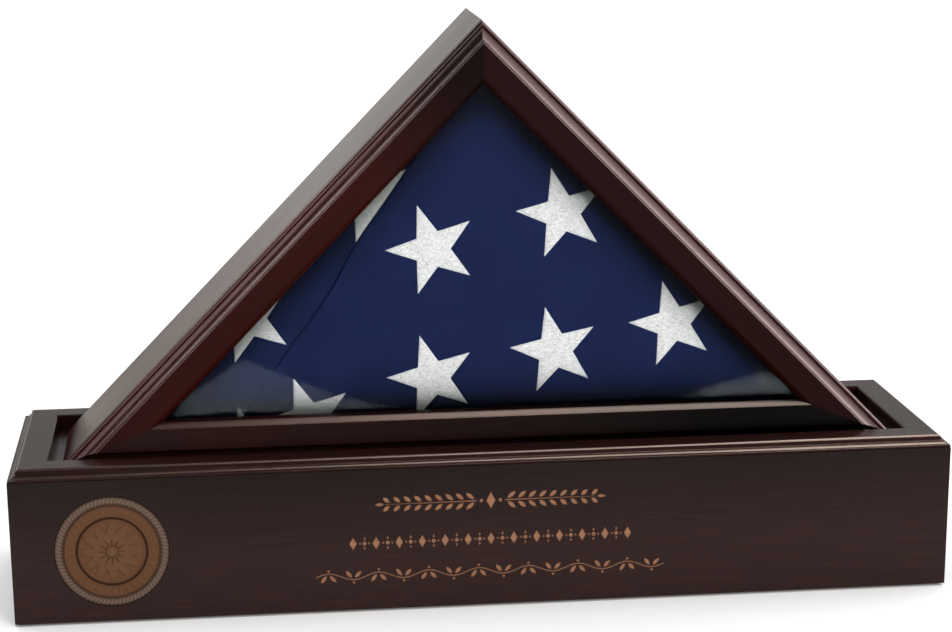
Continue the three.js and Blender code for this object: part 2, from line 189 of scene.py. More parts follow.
def lacquer(name, red, green, blue, gloss, grain="z", fade=None):
    """The dark mahogany lacquer of every outer face, about a board's middle colour."""
    tones = [srgb(red * shade, green * shade, blue * shade) for shade in (0.72, 1.0, 1.25)]
    return wood(name, *tones, grain, 0.24, 0.3, gloss, fade)


def felt(name):
    graph = Graph(name, Roughness=0.95, Sheen_Weight=0.35, Specular_IOR_Level=0.15)
    fibres = graph.noise(graph.place(), 2600, 3, 0.7, 1.5)
    clumps = graph.noise(graph.place(), 260, 3)
    shade = graph.mix(clumps, srgb(14, 14, 15), srgb(44, 43, 45))
    graph.set(graph.shader, {"Base Color": graph.mix(fibres, shade, srgb(26, 26, 28))})
    graph.bump(fibres, 0.0003, 0.9)
    return graph.owner


def metal(name, colour, stain, roughness):
    graph = Graph(name, Metallic=1.0)
    brushed = graph.noise(graph.place((1, 1, 0.06)), 3000, 3)
    spots = graph.noise(graph.place(), 320, 5, 0.65)
    tarnish = graph.ramp(spots, [(0.52, 0.0), (0.78, 1.0)])
    graph.set(graph.shader, {
        "Base Color": graph.mix(tarnish, colour, stain),
        "Roughness": graph.spread(graph.math("ADD", tarnish, brushed), roughness, roughness + 0.16),
    })
    graph.bump(brushed, 0.00002, 0.5)
    return graph.owner


def engraved_wood(name):
    """The pale wood that the engraving bares."""
    graph = Graph(name, Roughness=0.7, Specular_IOR_Level=0.2)
    grain = graph.noise(graph.place((1, 1, 0.08)), 900, 4)
    scorch = graph.noise(graph.place(), 420, 4, 0.7)
    pale = graph.mix(grain, srgb(124, 87, 64), srgb(160, 120, 93))
    colour = graph.mix(graph.spread(scorch, 0, 0.5), pale, srgb(104, 62, 44))
    graph.set(graph.shader, {"Base Color": colour})
    graph.bump(scorch, 0.0002, 0.5)
    return graph.owner


def carved_wood(name):
    """The medallion's wood, painted darker in the low carving as shade, with a grey rope painted
    lighter on its crests as highlight.
    """
    graph = Graph(name, Roughness=0.55, Specular_IOR_Level=0.09)
    relief = graph.attribute("relief")
    rope = graph.attribute("rope")
    grain = graph.noise(graph.place((0.12, 1, 1)), 420, 5)
    # Painted shade: the tone runs from near black in the deepest groove up to pale tan on the tops.
    tone = graph.ramp(relief, [
        (0.0, srgb(20, 12, 9)), (0.33, srgb(89, 60, 41)), (0.62, srgb(86, 59, 41)),
        (1.0, srgb(97, 71, 50)),
    ])
    # Painted highlight: the rope's grey lightens toward its crests.
    grey = graph.ramp(relief, [(0.35, srgb(40, 30, 25)), (0.9, srgb(104, 86, 73))])
    stained_and_shaded = graph.mix(graph.spread(grain, 0.0, 0.45), tone, srgb(72, 42, 25))
    graph.set(graph.shader, {"Base Color": graph.mix(rope, stained_and_shaded, grey)})
    graph.bump(grain, 0.0001, 0.5)
    return graph.owner


def flag_cloth(name):
    """Navy nylon: a fine plain weave with a slight sheen and an uneven dye. Painted shade darkens
    it beside the face rails.
    """
    graph = Graph(name, Roughness=0.85, Specular_IOR_Level=0.005)
    place = graph.place()
    bands = {"wave_type": "BANDS", "wave_profile": "SIN"}
    warp = graph.add("TexWave", {**bands, "bands_direction": "X"}, Vector=place, Scale=520).outputs[0]
    weft = graph.add("TexWave", {**bands, "bands_direction": "Z"}, Vector=place, Scale=520).outputs[0]
    weave = graph.math("MULTIPLY", warp, weft)
    cloud = graph.noise(place, 26, 3)
    slub = graph.noise(graph.place((1, 1, 0.04)), 900, 3)
    navy = graph.mix(cloud, srgb(15, 24, 56), srgb(26, 37, 77))
    threads = graph.mix(graph.spread(weave, 0.0, 0.12), navy, srgb(26, 42, 98))
    lit = graph.mix(graph.spread(slub, 0.0, 0.25), threads, srgb(5, 10, 42))
    # Painted shade: the navy darkens to near black beside the face rails, which shade the flag.
    painted_shade = graph.spread(graph.attribute("shade"), 0.0, 0.97)
    graph.set(graph.shader, {"Base Color": graph.mix(painted_shade, lit, srgb(2, 3, 8))})
    graph.bump(graph.math("ADD", weave, slub), 0.00003, 0.5)
    return graph.owner


def star_thread(name):
    """White embroidery: short packed stitches with dark flecks of cloth between them. Painted shade
    greys it beside the face rails.
    """
    graph = Graph(name, Roughness=0.62, Sheen_Weight=0.15, Specular_IOR_Level=0.35)
    stitch = graph.noise(graph.place((1, 1, 0.3)), 1300, 3, 0.75, 2.0)
    gaps = graph.noise(graph.place((0.6, 1, 1)), 620, 4, 0.8, 1.2)
    flecks = graph.ramp(gaps, [(0.36, 0.0), (0.58, 1.0)])
    white = graph.mix(stitch, srgb(224, 222, 224), srgb(255, 253, 254))
    worked = graph.mix(graph.spread(flecks, 0.25, 1.0), srgb(150, 154, 150), white)
    inside = graph.ramp(graph.attribute("relief"), [(0.0, 0.0), (0.3, 1.0)])
    lit = graph.mix(inside, white, worked)
    # Painted shade: the white greys beside the face rails, which shade the stars.
    painted_shade = graph.spread(graph.attribute("shade"), 0.0, 0.9)
    graph.set(graph.shader, {"Base Color": graph.mix(painted_shade, lit, srgb(62, 70, 64))})
    graph.bump(stitch, 0.0006, 0.9)
    return graph.owner


def glass_sheet(name):
    """Clear picture glass: see-through, with a weak Fresnel reflection over it."""
    graph = Graph(name, Base_Color=(0.9, 0.95, 0.94, 1), Roughness=0.03, Metallic=1.0)
    clear = graph.add("BsdfTransparent", Color=(0.975, 0.982, 0.98, 1)).outputs[0]
    facing = graph.add("Fresnel", IOR=1.085).outputs[0]
    smear = graph.spread(graph.noise(graph.place(), 9, 3), 0.88, 1.08)
    blend = graph.add("MixShader", Fac=graph.math("MULTIPLY", facing, smear))
    graph.links.new(clear, blend.inputs[1])
    graph.links.new(graph.shader.outputs[0], blend.inputs[2])
    graph.links.new(blend.outputs[0], graph.output.inputs[0])
    return graph.owner


# Bars carry their own coordinates, with z along the bar and, on the base, y up it. The boards
# differ a little in tone, and three carry painted shade: the base is painted darker toward the
# rim, the left rail near the apex, and the bottom rail near its right end.
BASE_LACQUER = lacquer("lacquer_base", 42, 25, 23, gloss=0.11, fade=("Y", (50, 1.0), (112, 0.45)))
RIM_LACQUER = lacquer("lacquer_rim", 34, 15, 12, gloss=0.072)
SIDE_LACQUER = lacquer("lacquer_sides", 44, 18, 12, gloss=0.12)
FACE_LACQUER = {
    "left": lacquer("lacquer_left_rail", 41, 9, 6, gloss=0.045, fade=("Z", (330, 1.0), (432, 0.18))),
    "right": lacquer("lacquer_right_rail", 27, 6, 5, gloss=0.045),
    "bottom": lacquer("lacquer_bottom_rail", 33, 15, 13, gloss=0.05, fade=("Z", (149, 0.05), (520, 1.0))),
}
FLOOR_LACQUER = lacquer("lacquer_recess_floor", 24, 9, 8, gloss=0.10, grain="x")
PINE_TONES = srgb(140, 104, 66), srgb(182, 146, 100), srgb(206, 174, 126)
PLYWOOD_TONES = srgb(96, 66, 40), srgb(140, 102, 66), srgb(168, 128, 86)
BARE_WOOD = wood("pine", *PINE_TONES, "x", 0.7, 0.25, 0.35)
PLYWOOD = wood("plywood", *PLYWOOD_TONES, "x", 0.62, 0.3, 0.4)
ENGRAVED = engraved_wood("engraved_wood")
CARVED = carved_wood("medallion_wood")
FELT = felt("felt")
BRASS = metal("brass", srgb(186, 148, 78), srgb(120, 88, 44), 0.28)
STEEL = metal("steel", srgb(190, 192, 194), srgb(120, 116, 110), 0.30)
CLOTH = flag_cloth("flag_cloth")
THREAD = star_thread("star_thread")
GLASS = glass_sheet("glass")


# ---- Pieces ----------------------------------------------------------------------------


def nodes_named(start):
    """The CAD nodes whose names start so, each with its box's lowest corner, highest and middle."""
    for node in sorted(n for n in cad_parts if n.startswith(start)):
        low, high = node_box(node)
        yield node, low, high, (low + high) / 2


def new_mesh(name, points, faces):
    mesh = bpy.data.meshes.new(name)
    mesh.from_pydata([Vector(p) * MM for p in points], [], faces)
    mesh.validate()
    return mesh


def linked(name, mesh, place=None):
    obj = bpy.data.objects.new(name, mesh)
    bpy.context.scene.collection.objects.link(obj)
    if place is not None:
        obj.matrix_world = place
    return obj


def smooth(mesh, angle):
    for face in mesh.polygons:
        face.use_smooth = True
    mesh.set_sharp_from_angle(angle=math.radians(angle))


def finish_piece(obj, body, nodes=(), angle=40, weighted=True):
    """Smooths a piece, keeps its flats flat, and ties it to its body and CAD nodes."""
    smooth(obj.data, angle)
    if weighted:
        normals = obj.modifiers.new("flat_faces", "WEIGHTED_NORMAL")
        normals.keep_sharp = True
    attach(obj, body)
    if nodes:
        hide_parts(*nodes)
    return obj


def apply_modifiers(obj):
    bpy.context.view_layer.update()
    source = obj.evaluated_get(bpy.context.evaluated_depsgraph_get())
    mesh = bpy.data.meshes.new_from_object(source)
    obj.modifiers.clear()
    obj.data = mesh


def carve(obj, points, faces, material=None):
    """Cuts closed shapes, placed in the frame in millimetres, out of an object."""
    mesh = new_mesh("cutter", points, faces)
    if material is not None:
        mesh.materials.append(material)
    cutter = linked("cutter", mesh)
    difference = obj.modifiers.new("carve", "BOOLEAN")
    difference.operation = "DIFFERENCE"
    difference.solver = "EXACT"
    difference.object = cutter
    if material is not None:
        difference.material_mode = "TRANSFER"
    apply_modifiers(obj)
    bpy.data.objects.remove(cutter)


def eased(section, radius, steps=3):
    """A closed outline with its corners rounded over by about the radius."""
    result = []
    count = len(section)
    for i, corner in enumerate(section):
        here = Vector(corner)
        before = Vector(section[i - 1]) - here
        after = Vector(section[(i + 1) % count]) - here
        turn = math.pi - before.angle(after)
        reach = min(radius, 0.45 * before.length, 0.45 * after.length)
        if turn < math.radians(25) or reach < 0.04:
            result.append(here)
            continue
        start = here + before.normalized() * reach
        end = here + after.normalized() * reach
        for k in range(steps + 1):
            t = k / steps
            result.append(start * (1 - t) ** 2 + here * 2 * t * (1 - t) + end * t**2)
    return result


def signed_area(outline):
    return sum(a[0] * b[1] - b[0] * a[1] for a, b in zip(outline, outline[1:] + outline[:1])) / 2


MITRE_GAP = 0.06
GAP = 0.3  # what CAD leaves between pieces that touch
BOTTOM_HOLE_R, BUTTON_HOLE_R = 1.9, 1.8  # screw holes in the base and in the case


def bar(name, section, start, end, inward, corners, material):
    """A bar with mitred ends, as an object with x inward, y along its depth and z along it.
    Section points are [inward, depth], and corners are the mitres' full angles."""
    start, end = Vector(start), Vector(end)
    length = (end - start).length
    along = (end - start).normalized()
    across = Vector(inward).normalized()
    depth = along.cross(across)
    outline = [tuple(p) for p in section]
    if signed_area(outline) < 0:
        outline.reverse()
    setback = [1 / math.tan(math.radians(c / 2)) for c in corners]
    points = [(u, v, u * setback[0] + MITRE_GAP) for u, v in outline]
    points += [(u, v, length - u * setback[1] - MITRE_GAP) for u, v in outline]
    count = len(outline)
    faces = [(i, (i + 1) % count, (i + 1) % count + count, i + count) for i in range(count)]
    faces += [tuple(reversed(range(count))), tuple(range(count, 2 * count))]
    place = Matrix((across, depth, along)).transposed().to_4x4()
    place.translation = start * MM
    obj = linked(name, new_mesh(name, points, faces), place)
    obj.data.materials.append(material)
    return obj


def arc(centre, radii, start, end, steps):
    """Points on part of an ellipse between two angles in degrees."""
    angles = [math.radians(start + (end - start) * i / steps) for i in range(steps + 1)]
    return [(centre[0] + radii[0] * math.cos(a), centre[1] + radii[1] * math.sin(a)) for a in angles]


def lathe(profile, count, centre, axis, wobble=0.0):
    """Points and faces of a turned solid. The profile's (radius, height) points start and end
    on the axis. Wobble is how uneven its surface is."""
    turn = Vector((0, 0, 1)).rotation_difference(Vector(axis))
    points = [Vector((0, 0, profile[0][1]))]
    for radius, height in profile[1:-1]:
        for j in range(count):
            angle = 2 * math.pi * j / count
            p = Vector((radius * math.cos(angle), radius * math.sin(angle), height))
            points.append(p * (1 + wobble / 10 * noise.noise(p * 1.7)) if wobble else p)
    points.append(Vector((0, 0, profile[-1][1])))
    rings = len(profile) - 2
    last = len(points) - 1
    faces = []
    for j in range(count):
        k = (j + 1) % count
        faces.append((0, 1 + k, 1 + j))
        faces.append((last, 1 + (rings - 1) * count + j, 1 + (rings - 1) * count + k))
        for i in range(rings - 1):
            a, b = 1 + i * count, 1 + (i + 1) * count
            faces.append((a + j, a + k, b + k, b + j))
    return [turn @ p + Vector(centre) for p in points], faces


def cylinder(radius, height):
    """A cylinder's profile for lathe."""
    return [(0, 0), (radius, 0), (radius, height), (0, height)]


def prism(outline, front, back):
    """Points and faces of an outline in x and z, carried from one depth to another."""
    outline = [tuple(p) for p in outline]
    if signed_area(outline) < 0:
        outline.reverse()
    count = len(outline)
    points = [(x, front, z) for x, z in outline] + [(x, back, z) for x, z in outline]
    faces = [(i, i + count, (i + 1) % count + count, (i + 1) % count) for i in range(count)]
    return points, faces + [tuple(range(count)), tuple(reversed(range(count, 2 * count)))]


def together(shapes):
    """Several (points, faces) shapes as one."""
    points, faces = [], []
    for shape_points, shape_faces in shapes:
        faces += [tuple(i + len(points) for i in face) for face in shape_faces]
        points += list(shape_points)
    return points, faces


def softened(node, width, material, body):
    """A CAD node's shape with its edges rounded over, as a piece that stands for it."""
    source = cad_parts[node]
    mesh = source.data.copy()
    made = bmesh.new()
    made.from_mesh(mesh)
    bmesh.ops.remove_doubles(made, verts=made.verts, dist=1e-6)
    bmesh.ops.dissolve_limit(made, angle_limit=math.radians(1), verts=made.verts, edges=made.edges)
    sharp = [e for e in made.edges if len(e.link_faces) == 2 and e.calc_face_angle() > math.radians(35)]
    bmesh.ops.bevel(
        made, geom=sharp, offset=width * MM, segments=3, profile=0.5, affect="EDGES", clamp_overlap=True,
    )
    made.to_mesh(mesh)
    made.free()
    mesh.materials.clear()
    mesh.materials.append(material)
    for face in mesh.polygons:
        face.material_index = 0
    return finish_piece(linked(node + "_finished", mesh), body, [node])


def repaint(node, material):
    """Gives a CAD node that stays its finished material."""
    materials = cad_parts[node].data.materials
    materials.clear()
    materials.append(material)


# ---- Base ------------------------------------------------------------------------------

HIGH = CAD_BOX[1] / MM
HALF_X, HALF_Y = HIGH.x, HIGH.y
FRONT = -HALF_Y
board_low, board_high = node_box("base_front_board")
BOARD_T = board_high.y - board_low.y
BOARD_BOTTOM, BOARD_TOP = board_low.z, board_high.z
PANEL_TOP = node_box("bottom_panel")[1].z + GAP
REBATE_W = HALF_X - node_box("bottom_panel")[1].x - GAP
rim_low, rim_high = node_box("rim_front_moulding")
RIM_TOP = rim_high.z
RIM_W = rim_high.y + HALF_Y
RIM_LIP = rim_low.z

BASE_SIDES = {
    "front": ((-HALF_X, -HALF_Y, 0), (HALF_X, -HALF_Y, 0), (0, 1, 0)),
    "right": ((HALF_X, -HALF_Y, 0), (HALF_X, HALF_Y, 0), (-1, 0, 0)),
    "back": ((HALF_X, HALF_Y, 0), (-HALF_X, HALF_Y, 0), (0, -1, 0)),
    "left": ((-HALF_X, HALF_Y, 0), (-HALF_X, -HALF_Y, 0), (1, 0, 0)),
}
BOARD_SECTION = [
    (0, BOARD_BOTTOM), (REBATE_W, BOARD_BOTTOM), (REBATE_W, PANEL_TOP), (BOARD_T, PANEL_TOP),
    (BOARD_T, BOARD_TOP), (0, BOARD_TOP),
]
# Rim, from its foot up: a cove, a fillet, a quirk and a round, then the flat top
RIM_FOOT = BOARD_TOP + 0.2
COVE_TOP = BOARD_TOP + 4.4
QUIRK_AT = 6.3
ROUND_W, ROUND_H = 3.3, 2.7
RIM_FILLET = 1.7
RIM_SECTION = [
    (0.3, RIM_FOOT),
    *arc((0.3, COVE_TOP), (4.2, COVE_TOP - RIM_FOOT - RIM_FILLET), -90, 0, 10),
    (QUIRK_AT, COVE_TOP),
    *arc((QUIRK_AT + ROUND_W, RIM_TOP - ROUND_H), (ROUND_W, ROUND_H), 180, 90, 10),
    (RIM_W - 1, RIM_TOP), (RIM_W, RIM_TOP - 1), (RIM_W, RIM_LIP), (BOARD_T + GAP, RIM_LIP),
    (BOARD_T + GAP, RIM_FOOT),
]

medal_low, medal_high = node_box("medallion")
MEDAL_R = (medal_high.x - medal_low.x) / 2
MEDAL_X = (medal_high.x + medal_low.x) / 2
MEDAL_Z = (medal_high.z + medal_low.z) / 2
MEDAL_BACK = medal_high.y
ENGRAVING_DEPTH = 0.7
ROWS_X = 2.0  # the engraving is centred on the case


def leaf(x, z, length, width, angle, steps=7):
    """A pointed leaf that springs from x, z at an angle in degrees."""
    shares = [i / steps for i in range(steps + 1)]
    upper = [(length * t, width / 2 * math.sin(math.pi * t) ** 0.8) for t in shares]
    lower = [(u, -v) for u, v in reversed(upper[1:-1])]
    c, s = math.cos(math.radians(angle)), math.sin(math.radians(angle))
    return [(x + u * c - v * s, z + u * s + v * c) for u, v in upper + lower]


def dot(x, z, radius, count=14):
    return arc((x, z), (radius, radius), 0, 360 * (count - 1) / count, count - 1)


def lozenge(x, z, half_width, half_height):
    return [(x - half_width, z), (x, z - half_height), (x + half_width, z), (x, z + half_height)]


def laurel_row(z, half_width, half_height):
    """Two leafy sprigs that point outward from a lozenge."""
    shapes = [lozenge(ROWS_X, z, 3.6, half_height)]
    first, pitch, count = 13.0, 8.3, 9
    for side in (-1, 1):
        shapes.append(dot(ROWS_X + side * 7.5, z, 1.5))
        stem = [(first - 2, -0.55), (half_width - 6, -0.25), (half_width - 6, 0.25), (first - 2, 0.55)]
        shapes.append([(ROWS_X + side * u, z + v) for u, v in stem])
        shapes.append(leaf(ROWS_X + side * (half_width - 5.2), z, 7.2, 2.6, 90 - 90 * side))
        for i in range(count):
            u = first + pitch * i
            size = 8.6 - 0.22 * i
            for up in (-1, 1):
                tilt = up * (40 if side > 0 else 140)
                shapes.append(leaf(ROWS_X + side * u, z + up * 1.25, size, 3.3, tilt))
    return shapes


def bead_row(z, half_width, half_height):
    """Lozenges and beads in turn."""
    periods = 12
    pitch = 2 * half_width / periods
    shapes = []
    for i in range(periods + 1):
        x = ROWS_X - half_width + pitch * i
        shapes.append(lozenge(x, z, 3.0, half_height))
        if i < periods:
            for step, radius in ((0.3, 0.9), (0.5, 1.7), (0.7, 0.9)):
                shapes.append(dot(x + pitch * step, z, radius))
            for up in (-1, 1):
                shapes.append(leaf(x + pitch * 0.5, z + up * 2.5, half_height - 2.4, 1.7, 90 * up))
    return shapes


def vine_row(z, half_width, half_height):
    """A wavy stem with a leaf and a berry in each of its bends."""
    waves = 7
    rise = half_height * 0.42
    steps = waves * 16
    line = []
    for i in range(steps + 1):
        u = -half_width + 2 * half_width * i / steps
        line.append((u, rise * math.sin(2 * math.pi * waves * i / steps)))
    upper = [(ROWS_X + u, z + v + 0.5) for u, v in line]
    lower = [(ROWS_X + u, z + v - 0.5) for u, v in reversed(line)]
    shapes = [upper + lower]
    bend = half_width / waves
    for i in range(2 * waves):
        up = 1 if i % 2 == 0 else -1
        x = ROWS_X - half_width + bend * (i + 0.5)
        shapes.append(leaf(x - 1.5, z + up * (rise - 1.6), 7.5, 3.0, -up * 128))
        shapes.append(leaf(x + 0.8, z + up * (rise - 1.6), 7.5, 3.0, -up * 46))
        shapes.append(dot(x, z + up * (rise + 2.3), 1.1))
    return shapes


def engraving():
    rows = laurel_row(87.5, 89, 7) + bead_row(56.3, 108.5, 5.2) + vine_row(29.7, 138, 6.5)
    return together(prism(shape, FRONT - 1, FRONT + ENGRAVING_DEPTH) for shape in rows)


def base_boards():
    for side, (start, end, inward) in BASE_SIDES.items():
        section = eased(BOARD_SECTION, 0.25)
        board = bar(f"{side}_board", section, start, end, inward, (90, 90), BASE_LACQUER)
        holes = []
        for _, _, high, middle in nodes_named("bottom_screw_" + side):
            profile = cylinder(BOTTOM_HOLE_R, high.z + GAP)
            holes.append(lathe(profile, 20, (middle.x, middle.y, 0), (0, 0, 1)))
        if side == "front":
            pocket = cylinder(MEDAL_R + GAP, 10)
            holes.append(lathe(pocket, 96, (MEDAL_X, MEDAL_BACK + GAP, MEDAL_Z), (0, -1, 0)))
        carve(board, *together(holes))
        if side == "front":
            carve(board, *engraving(), ENGRAVED)
        finish_piece(board, "base", [f"base_{side}_board"], angle=30)
        rim = bar(f"{side}_rim", eased(RIM_SECTION, 0.35), start, end, inward, (90, 90), RIM_LACQUER)
        finish_piece(rim, "base", [f"rim_{side}_moulding"])


# ---- Medallion -------------------------------------------------------------------------


def dome(distance):
    return math.sqrt(max(0.0, 1 - distance * distance))


def petals(share, angle, count, start, end, width, turn=0.0):
    """Height of a ring of petals between two shares of the radius."""
    v = (share - start) / (end - start)
    if not 0 < v < 1:
        return 0.0
    pitch = 2 * math.pi / count
    offset = ((angle - turn + pitch / 2) % pitch) - pitch / 2
    across = abs(offset) * share / (width * math.sin(math.pi * v) ** 0.7 + 1e-6)
    vein = 0.25 * math.exp(-(across * 5) ** 2)
    return dome(across) - vein if across < 1 else 0.0


ROPE_STRANDS = 84


def medal_relief(share, angle):
    """Height in millimetres over the disc's flat, and how much of a rope it is, at a share of
    the radius and an angle."""
    if share > 0.86:
        across = (share - 0.93) / 0.07
        twist = abs(math.sin((ROPE_STRANDS * angle + 2.2 * across) / 2))
        return 1.15 * dome(across) * (0.35 + 0.65 * twist**0.6) - 0.35, 1.0
    if share > 0.825:
        return -0.35, 0.4
    if share > 0.64:
        bead = petals(share, angle, 36, 0.672, 0.795, 0.026)
        edge = 0.35 if share > 0.808 or share < 0.658 else 0.0
        return max(0.1 + 0.75 * bead, edge), 0.0
    if share > 0.585:
        return -0.75 * dome((share - 0.6125) / 0.0275), 0.0
    outer = 0.95 * petals(share, angle, 12, 0.21, 0.55, 0.085)
    inner = 1.15 * petals(share, angle, 12, 0.10, 0.37, 0.05, math.pi / 12)
    boss = 1.3 * dome(share / 0.105)
    ring = 0.5 * dome((share - 0.568) / 0.014)
    return max(outer, inner, boss, ring, 0.0) - 0.1, 0.0


def medallion():
    rings, spokes = 112, 336
    points, relief, rope = [(MEDAL_X, FRONT - 1.2, MEDAL_Z)], [1.0], [0.0]
    for i in range(1, rings + 1):
        share = i / rings
        for j in range(spokes):
            angle = 2 * math.pi * j / spokes
            height, is_rope = medal_relief(min(share, 0.9995), angle)
            x, z = MEDAL_R * share * math.cos(angle), MEDAL_R * share * math.sin(angle)
            points.append((MEDAL_X + x, FRONT - height, MEDAL_Z + z))
            relief.append(min(1, max(0, (height + 0.75) / 1.9)))
            rope.append(is_rope)
    faces = [(0, 1 + j, 1 + (j + 1) % spokes) for j in range(spokes)]
    for i in range(rings - 1):
        a, b = 1 + i * spokes, 1 + (i + 1) * spokes
        for j in range(spokes):
            k = (j + 1) % spokes
            faces.append((a + j, b + j, b + k, a + k))
    edge = 1 + (rings - 1) * spokes
    back = len(points)
    for j in range(spokes):
        x, _, z = points[edge + j]
        points.append((x, MEDAL_BACK, z))
        relief.append(0.3)
        rope.append(0.5)
    for j in range(spokes):
        k = (j + 1) % spokes
        faces.append((edge + j, back + j, back + k, edge + k))
    faces.append(tuple(reversed(range(back, back + spokes))))
    mesh = new_mesh("carved_medallion", points, faces)
    for attribute, values in (("relief", relief), ("rope", rope)):
        mesh.attributes.new(attribute, "FLOAT", "POINT").data.foreach_set("value", values)
    mesh.materials.append(CARVED)
    finish_piece(linked("carved_medallion", mesh), "base", ["medallion"], 60, False)


# ---- Felt and screws -------------------------------------------------------------------


def felt_disc(node, body):
    """A punched felt disc: its edge is soft and its faces a little uneven."""
    low, high = node_box(node)
    radius = (high.x - low.x) / 2
    height = high.z - low.z
    soft = min(0.7, height / 2.5)
    profile = [(0, 0)]
    profile += [(radius * share, 0.02) for share in (0.3, 0.6, 0.85)]
    profile += arc((radius - soft, soft), (soft, soft), -90, 0, 4)
    profile += arc((radius - soft, height - soft), (soft, soft), 0, 90, 4)
    profile += [(radius * share, height - 0.02) for share in (0.85, 0.6, 0.3)]
    profile += [(0, height)]
    middle = (low + high) / 2
    points, faces = lathe(profile, 72, (middle.x, middle.y, low.z), (0, 0, 1), 0.05)
    for p in points:
        p.z = min(max(p.z, low.z), high.z)
    mesh = new_mesh(node + "_disc", points, faces)
    mesh.materials.append(FELT)
    finish_piece(linked(node + "_disc", mesh), body, [node], 50, False)


def shank(root, radius, length):
    """Profile of a threaded shank below a head, out to its point."""
    thread = 1.2
    turns = int((length - 2 - root) / thread)
    points = []
    for i in range(turns):
        height = root + i * thread
        points += [(radius * 0.78, height + 0.1), (radius, height + thread * 0.5)]
    return points + [(radius * 0.78, root + turns * thread), (0, length)]


def screw(node, profile, axis, at, body, recess_depth=1.1):
    """A cross-recessed screw, turned from a profile that starts on its axis, at its head's top."""
    mesh = new_mesh(node + "_turned", *lathe(profile, 32, at, axis))
    mesh.materials.append(STEEL)
    obj = linked(node + "_turned", mesh)
    top = Vector(at) + Vector(axis) * profile[0][1]
    turn = Vector((0, 0, 1)).rotation_difference(Vector(axis)).to_matrix()
    slots = []
    for half_x, half_y in ((2.0, 0.38), (0.38, 2.0)):
        outer = [(-half_x, -half_y), (half_x, -half_y), (half_x, half_y), (-half_x, half_y)]
        corners = [(x, y, -1.0) for x, y in outer] + [(x * 0.45, y, recess_depth) for x, y in outer]
        faces = [(i, (i + 1) % 4, (i + 1) % 4 + 4, i + 4) for i in range(4)]
        faces += [(3, 2, 1, 0), (4, 5, 6, 7)]
        slots.append(([turn @ Vector(c) + top for c in corners], faces))
    for slot in slots:
        carve(obj, *slot)
    finish_piece(obj, body, [node])


def bottom_screws():
    """Countersunk screws with flat heads."""
    for node, low, high, middle in nodes_named("bottom_screw_"):
        radius = (high.x - low.x) / 2
        profile = [(0, 0), (radius - 0.3, 0.02), (radius, 0.25), (1.5, 2.2)]
        profile += shank(2.4, 1.6, high.z - low.z)
        screw(node, profile, (0, 0, 1), (middle.x, middle.y, low.z), "base")


def button_screws():
    """Round-headed screws that the turn buttons turn on."""
    head_h = 2.2
    for node, low, high, middle in nodes_named("button_screw_"):
        radius = (high.x - low.x) / 2
        profile = [(0, 0)] + [(r, head_h - h) for r, h in arc((0, 0), (radius, head_h), 84, 6, 7)]
        profile += [(radius - 0.15, head_h), (1.5, head_h)]
        profile += shank(head_h + 2.4, 1.5, high.y - low.y)
        screw(node, profile, (0, -1, 0), (middle.x, high.y, middle.z), "case")


# ---- Triangular case -------------------------------------------------------------------

side_low, side_high = node_box("case_bottom_side")
face_low, face_high = node_box("face_bottom_rail")
CASE_X = (side_low.x + side_high.x) / 2
CASE_HALF_W = 332.5  # to the lower tips
CASE_BOTTOM = side_low.z
CASE_BACK = side_high.y
SIDE_T = side_high.z - side_low.z
FACE_BACK = face_high.y
FACE_FRONT = face_low.y
FACE_W = face_high.z - face_low.z
APEX_Z = HIGH.z
LEG = math.atan2(APEX_Z - CASE_BOTTOM, CASE_HALF_W)
LEG_COS, LEG_SIN = math.cos(LEG), math.sin(LEG)
FOOT_CORNER = math.degrees(LEG)
APEX_CORNER = 180 - 2 * FOOT_CORNER
LEFT_TIP = Vector((CASE_X - CASE_HALF_W, 0, CASE_BOTTOM))
RIGHT_TIP = Vector((CASE_X + CASE_HALF_W, 0, CASE_BOTTOM))
APEX = Vector((CASE_X, 0, APEX_Z))
CASE_SIDES = {
    "left": (LEFT_TIP, APEX, (LEG_SIN, 0, -LEG_COS), (FOOT_CORNER, APEX_CORNER)),
    "right": (APEX, RIGHT_TIP, (-LEG_SIN, 0, -LEG_COS), (APEX_CORNER, FOOT_CORNER)),
    "bottom": (RIGHT_TIP, LEFT_TIP, (0, 0, 1), (FOOT_CORNER, FOOT_CORNER)),
}
REBATE_N, REBATE_D = 9.0, 5.0
SIDE_SECTION = [
    (0, -CASE_BACK), (SIDE_T, -CASE_BACK), (SIDE_T, CASE_BACK - REBATE_D),
    (REBATE_N, CASE_BACK - REBATE_D), (REBATE_N, CASE_BACK), (0, CASE_BACK),
]
# Face frame, from its inner edge out: bowed bevel, flat, nose, cove, quirk and bead. The bevel
# leans at 45 degrees and bows by BEVEL_BOW to each side of that.
BEVEL_R, BEVEL_BOW = 16.0, 12
BEVEL_IN = BEVEL_R * math.cos(math.radians(45 - BEVEL_BOW))
BEVEL_AT = (FACE_W - BEVEL_IN, FACE_FRONT + BEVEL_IN)
NOSE_AT, NOSE_W, NOSE_D = 12.4, 1.4, 1.0
COVE_R = 10.64
COVE_AT = (0.56, FACE_FRONT - 1.07)
COVE_START, COVE_END = 11.2, 70
BEAD_R = 3.4
BEAD_TOP = FACE_FRONT + 9
QUIRK = (BEAD_R + 0.5, BEAD_TOP + 0.4)
FACE_SECTION = [
    (0, FACE_BACK), (FACE_W, FACE_BACK),
    *arc(BEVEL_AT, (BEVEL_R, BEVEL_R), BEVEL_BOW - 45, -45 - BEVEL_BOW, 8),
    *arc((NOSE_AT, FACE_FRONT + NOSE_D), (NOSE_W, NOSE_D), -90, -180, 8),
    *arc(COVE_AT, (COVE_R, COVE_R), COVE_START, COVE_END, 14),
    QUIRK,
    *arc((BEAD_R, BEAD_TOP + BEAD_R), (BEAD_R, BEAD_R), -90, -180, 10),
]


